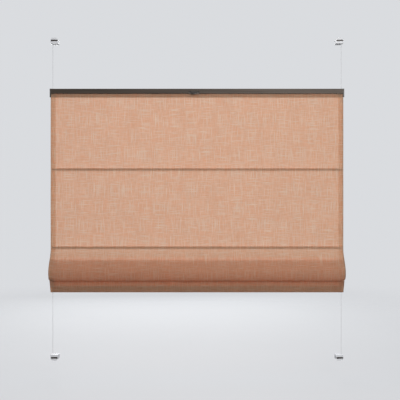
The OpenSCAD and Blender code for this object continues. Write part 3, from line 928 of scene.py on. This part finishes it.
def linen(cloth, thin=False):
    """Linen: part of the light comes back from the face and part passes through.

    Long thin noise down and across the cut gives the thick pale threads, slow noise the uneven dye,
    and two crossed waves the weave. The edge turned back in a side hem is woven thinner, and so are
    the strips of the rods' pockets. The cloth is painted darker along the side hem's turned edge, a
    painted shade where it turns back on itself.
    """
    name = "linen_pocket" if thin else "linen_weave"
    if made(name):
        return made(name)
    finish = Finish(name)
    cut = finish.add("UVMap", uv_map=CLOTH_UV).outputs[0]
    place = finish.add("Mapping", {"Vector": cut, "Scale": (UV_SPAN,) * 3}).outputs[0]
    slub = finish.highest(
        [
            finish.span(finish.noise(place, cell, detail, shift, flat=True), *shown, 0.0, strength)
            for cell, detail, shift, shown, strength in THICK_THREADS
        ]
    )
    fine = [finish.noise(place, cell, 1.0, shift, flat=True) for cell, shift in FINE_THREADS]
    dye = finish.noise(place, (0.055, 0.075, 1), 3.0, 3.0, flat=True)
    fine_tone = finish.span(finish.math("ADD", *fine), *FINE_TONE)
    tone = finish.math("ADD", fine_tone, finish.span(dye, *DYE_TONE))
    if thin:
        glow, share = rgba(cloth.selvedge_colour), cloth.selvedge_openness
    else:
        across_cut = finish.add("SeparateXYZ", {0: place}).outputs["X"]
        cut_middle = CLOTH_HIGH.x + cloth.side_hem
        off_middle = finish.math("ABSOLUTE", finish.math("SUBTRACT", across_cut, cut_middle))
        past_edge = finish.math("SUBTRACT", off_middle, CLOTH_HIGH.x)
        off_edge = finish.math("ABSOLUTE", past_edge)
        # Painted shade: the cloth is darkened along the side hem's turned edge
        tone = finish.math("ADD", tone, finish.span(off_edge, *PAINTED_EDGE_SHADE))
        turned_back = finish.math("GREATER_THAN", past_edge, 0.0)
        glow = finish.blend(slub, rgba(cloth.glow_colour), rgba(cloth.slub_colour, SLUB_GLOW))
        glow = finish.blend(turned_back, glow, rgba(cloth.selvedge_colour))
        woven = finish.span(slub, 0.0, 1.0, cloth.openness, cloth.openness - SLUB_DENSE)
        shares = {0: turned_back, 2: woven, 3: cloth.selvedge_openness}
        share = finish.add("Mix", shares).outputs[0]
    pale = finish.math("MULTIPLY", slub, SLUB_ON_FACE)
    face = finish.blend(pale, rgba(cloth.face_colour), rgba(cloth.slub_colour))
    face = finish.add("HueSaturation", {"Value": tone, "Color": face}).outputs[0]
    glow = finish.add("HueSaturation", {"Value": tone, "Color": glow}).outputs[0]
    weave = finish.highest(finish.waves(place, 380.0, 0.6, "XY"))
    height = finish.math("ADD", weave, finish.math("MULTIPLY", slub, 0.8))
    finish.fill(finish.shader, {"Base Color": face, "Roughness": 0.88, "Specular IOR Level": 0.2})
    finish.fill(finish.shader, {"Sheen Weight": 0.06, "Sheen Roughness": 0.5})
    finish.bump(height, 0.22, 0.0003)
    through = finish.add("BsdfTranslucent", {"Color": glow})
    both = finish.add("MixShader", {0: share, 1: finish.shader.outputs[0], 2: through.outputs[0]})
    finish.fill(finish.output, {"Surface": both.outputs[0]})
    return finish.material


def sewing_thread(cloth):
    """Twisted polyester thread, a little darker than the cloth."""
    if made("sewing_thread"):
        return made("sewing_thread")
    finish = Finish("sewing_thread")
    twist = finish.noise(finish.object_place(), (0.0006, 0.0006, 0.0006))
    finish.coat(twist, cloth.thread_colour, (0.85, 1.15), {"Roughness": 0.55})
    finish.bump(twist, 0.2, 0.0001)
    return finish.material


def cord_finish(cord):
    """Braided pale cord: fine fibres, lighter and darker."""
    if made("braided_polyester"):
        return made("braided_polyester")
    finish = Finish("braided_polyester")
    fibre = finish.noise(finish.object_place(), (0.0004, 0.0004, 0.0012), 3.0)
    finish.coat(fibre, cord.colour, (0.88, 1.1), {"Roughness": 0.7})
    finish.bump(fibre, 0.25, 0.0001)
    return finish.material


def bronze_coat(name, colour):
    """Satin bronze coat on an extrusion: fine lines along its length and a faint uneven gloss."""
    finish = Finish(name)
    place = finish.object_place()
    lines = finish.noise(place, (0.25, 0.0009, 0.0009), 3.0)
    cloud = finish.noise(place, (0.18, 0.05, 0.012), 2.0, 5.0)
    gloss = finish.span(lines, 0.25, 0.75, 0.34, 0.5)
    inputs = {"Roughness": gloss, "Metallic": 0.2, "Specular IOR Level": 0.25}
    finish.coat(finish.span(cloud, 0.3, 0.7), colour, (0.88, 1.14), inputs)
    finish.bump(lines, 0.12, 0.00006)
    return finish.material


def moulded(name, colour, rough, grain):
    """Moulded plastic: a fine spark-eroded grain and a faint cloud in the colour."""
    finish = Finish(name)
    place = finish.object_place()
    cloud = finish.noise(place, (0.009, 0.009, 0.009), 2.0)
    texture = finish.noise(place, (grain, grain, grain), 2.0, 3.0)
    gloss = finish.span(texture, 0.3, 0.7, rough - 0.05, rough + 0.07)
    inputs = {"Roughness": gloss, "Specular IOR Level": 0.45}
    finish.coat(finish.span(cloud, 0.3, 0.7), colour, (0.94, 1.05), inputs)
    finish.bump(texture, 0.10, 0.00008)
    return finish.material


def drawn_metal(name, colour, rough):
    """Bare drawn metal: long fine lines along the piece."""
    finish = Finish(name)
    lines = finish.noise(finish.object_place(), (0.08, 0.0005, 0.0005), 3.0)
    gloss = finish.span(lines, 0.25, 0.75, rough - 0.07, rough + 0.1)
    finish.coat(lines, colour, (0.86, 1.08), {"Roughness": gloss, "Metallic": 1.0})
    finish.bump(lines, 0.1, 0.00004)
    return finish.material


def woven_tape(name, colour):
    """Narrow woven tape: crossed waves across and along it."""
    finish = Finish(name)
    height = finish.math("MULTIPLY", *finish.waves(finish.object_place(), 330.0, 0.4, "XZ"))
    finish.coat(height, colour, (0.8, 1.1), {"Roughness": 0.9})
    finish.bump(height, 0.3, 0.0002)
    return finish.material


def soft_foam(name, colour):
    """Closed-cell foam: small round cells."""
    finish = Finish(name)
    moved = finish.add("Mapping", {"Vector": finish.object_place(), "Scale": (1600.0,) * 3})
    cells = finish.add("TexVoronoi", {"Vector": moved.outputs[0], "Scale": 1.0}).outputs["Distance"]
    finish.coat(cells, colour, (0.8, 1.15), {"Roughness": 0.95})
    finish.bump(cells, 0.35, 0.0002)
    return finish.material


class BLIND_OT_finish_hardware(Operator):
    """Give the rail, rods, guides, bushes and clamps their coats, metals and plastics."""

    bl_idname = "blind.finish_hardware"
    bl_label = "Finish hardware"

    def execute(self, context):
        colours = context.scene.blind_finish
        steel = drawn_metal("drawn_steel", colours.steel, rough=0.32)
        guide = moulded("guide_moulding", colours.guide, rough=0.5, grain=0.0007)
        white = moulded("clamp_moulding", colours.white, rough=0.42, grain=0.0006)
        finishes = {
            "top_rail": bronze_coat("satin_bronze", colours.bronze),
            "end_cap": moulded("cap_moulding", colours.cap, rough=0.42, grain=0.0006),
            "pull_handle": moulded("handle_moulding", colours.handle, rough=0.3, grain=0.0006),
            "header_tape": woven_tape("header_weave", colours.tape),
            "bottom_bar": drawn_metal("drawn_aluminium", colours.aluminium, rough=0.36),
            "clamp_bracket": white,
            "clamp_jaw": white,
            "clamp_pad": soft_foam("pad_foam", colours.pad),
            "clamp_screw": steel,
            "cord_shoe": moulded("shoe_moulding", colours.brown, rough=0.4, grain=0.0006),
            "cord_bush": guide,
            "bar_guide": guide,
        }
        for name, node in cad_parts.items():
            if name in REPLACED:
                continue
            fitting = (coat for start, coat in finishes.items() if name.startswith(start))
            finish = next(fitting, None)
            if name.startswith("rod_"):
                finish = guide if "guide" in name else steel
            if finish is None:
                raise RuntimeError(f"no finish for {name}")
            node.data.materials.clear()
            node.data.materials.append(finish)
        return {"FINISHED"}


# Stage


def soft_lamp(name, place, target, size, power, colour):
    """A square lamp that looks at a point, and that the camera doesn't see."""
    lamp = bpy.data.lights.new(name, "AREA")
    lamp.size = size
    lamp.energy = power
    lamp.color = colour
    thing = bpy.data.objects.new(name, lamp)
    thing.location = place
    way = thing.location - Vector(target)
    thing.rotation_euler = way.to_track_quat("Z", "Y").to_euler()
    thing.visible_camera = False
    bpy.context.scene.collection.objects.link(thing)


def pale_floor(stage, z):
    """A flat disc of rings and spokes that fades out towards its rim, so that it has no edge.

    The camera sees it pale, and other rays see it darker, so that little light comes up from it.
    """
    ring = np.linspace(0.001, FLOOR_RADIUS, FLOOR_RINGS)[:, None]
    turn = np.linspace(0, 2 * math.pi, FLOOR_SPOKES + 1)[:-1]
    disc = grid_points(ring * np.cos(turn), ring * np.sin(turn), z)
    finish = Finish("pale_floor")
    place = finish.object_place()
    away = finish.add("VectorMath", {0: place}, operation="LENGTH").outputs["Value"]
    grain = finish.noise(place, (0.3, 0.3, 0.3), 2.0)
    seen = finish.add("LightPath").outputs["Is Camera Ray"]
    pale = finish.blend(grain, *(rgba(stage.backdrop, tone) for tone in FLOOR_TONES))
    colour = finish.blend(seen, rgba((stage.floor_return,) * 3), pale)
    finish.fill(finish.shader, {"Base Color": colour, "Roughness": 0.8, "Specular IOR Level": 0.2})
    glow = finish.math("MULTIPLY", seen, FLOOR_GLOW)
    finish.fill(finish.shader, {"Emission Color": rgba(stage.backdrop), "Emission Strength": glow})
    finish.fill(finish.shader, {"Alpha": finish.span(away, *FLOOR_FADE, 1.0, 0.0)})
    faces = grid_faces(FLOOR_RINGS, FLOOR_SPOKES, wrap=True)
    make_piece("floor", disc, faces, finish.material)


def pale_world(stage):
    """World that lights softly, more from above, and shows a pale colour behind the blind.

    Camera rays, mirror rays and clear straight rays see the backdrop, and all others the light.
    """
    world = bpy.data.worlds.new("pale_studio")
    world.use_nodes = True
    world.node_tree.nodes.clear()
    graph = NodeGraph(world.node_tree)
    path = graph.add("LightPath").outputs
    straight = graph.math("GREATER_THAN", path["Is Transmission Ray"], path["Is Diffuse Ray"])
    shown = graph.highest([path["Is Camera Ray"], path["Is Glossy Ray"], straight])
    way = graph.add("SeparateXYZ", {0: graph.add("TexCoord").outputs["Generated"]}).outputs["Z"]
    soft = graph.blend(graph.span(way, *HORIZON), rgba(stage.shade), rgba(stage.fill))
    light = graph.add("Background", {"Color": graph.blend(shown, soft, rgba(stage.backdrop))})
    graph.add("OutputWorld", {"Surface": light.outputs[0]})
    bpy.context.scene.world = world


class BLIND_OT_set_stage(Operator):
    """Set the stage: camera, pale floor, backdrop and a soft lamp on each side of the cloth."""

    bl_idname = "blind.set_stage"
    bl_label = "Set stage"

    def execute(self, context):
        stage = context.scene.blind_stage
        scene = context.scene
        scene.view_settings.view_transform = "Standard"
        middle = (0, 0, (CAD_BOX[0][2] + CAD_BOX[1][2]) / 2)
        pale_world(stage)
        pale_floor(stage, CAD_BOX[0][2] - stage.floor_gap)
        soft_lamp("key_lamp", KEY_PLACE, middle, KEY_SIZE, stage.key_power, KEY_TINT)
        soft_lamp("back_lamp", BACK_PLACE, middle, BACK_SIZE, stage.back_power, BACK_TINT)
        camera = bpy.data.objects.new("camera", bpy.data.cameras.new("camera"))
        camera.data.lens = stage.lens
        camera.location = (stage.camera_x, -stage.camera_back, stage.camera_z)
        camera.rotation_euler = (math.pi / 2, 0, 0)
        scene.collection.objects.link(camera)
        scene.camera = camera
        return {"FINISHED"}


class BLIND_PT_sidebar(Panel):
    """Steps and settings of the blind."""

    bl_label = "Roman Blind"
    bl_idname = "BLIND_PT_sidebar"
    bl_space_type = "VIEW_3D"
    bl_region_type = "UI"
    bl_category = "Blind"

    def draw(self, context):
        for step in STEPS:
            self.layout.operator(step.bl_idname)
        for key in SETTINGS:
            group = getattr(context.scene, key)
            box = self.layout.box()
            for name in group.__annotations__:
                box.prop(group, name)


SETTINGS = {
    "blind_cloth": BlindClothSettings,
    "blind_cord": BlindCordSettings,
    "blind_finish": BlindFinishSettings,
    "blind_stage": BlindStageSettings,
}
STEPS = (
    BLIND_OT_set_stage,
    BLIND_OT_finish_hardware,
    BLIND_OT_string_cords,
    BLIND_OT_sew_pockets,
    BLIND_OT_sew_stitches,
    BLIND_OT_hang_cloth,
)


def register():
    """Registers the settings, the steps and the panel."""
    for kind in (*SETTINGS.values(), *STEPS, BLIND_PT_sidebar):
        bpy.utils.register_class(kind)
    for key, kind in SETTINGS.items():
        setattr(bpy.types.Scene, key, PointerProperty(type=kind))


def unregister():
    """Takes the panel, the steps and the settings out again."""
    for key in SETTINGS:
        delattr(bpy.types.Scene, key)
    for kind in reversed((*SETTINGS.values(), *STEPS, BLIND_PT_sidebar)):
        bpy.utils.unregister_class(kind)


def main():
    """Builds the dressed blind."""
    register()
    bpy.ops.blind.set_stage()
    bpy.ops.blind.finish_hardware()
    bpy.ops.blind.string_cords()
    bpy.ops.blind.sew_pockets()
    bpy.ops.blind.sew_stitches()
    bpy.ops.blind.hang_cloth()


if __name__ == "__main__":
    main()
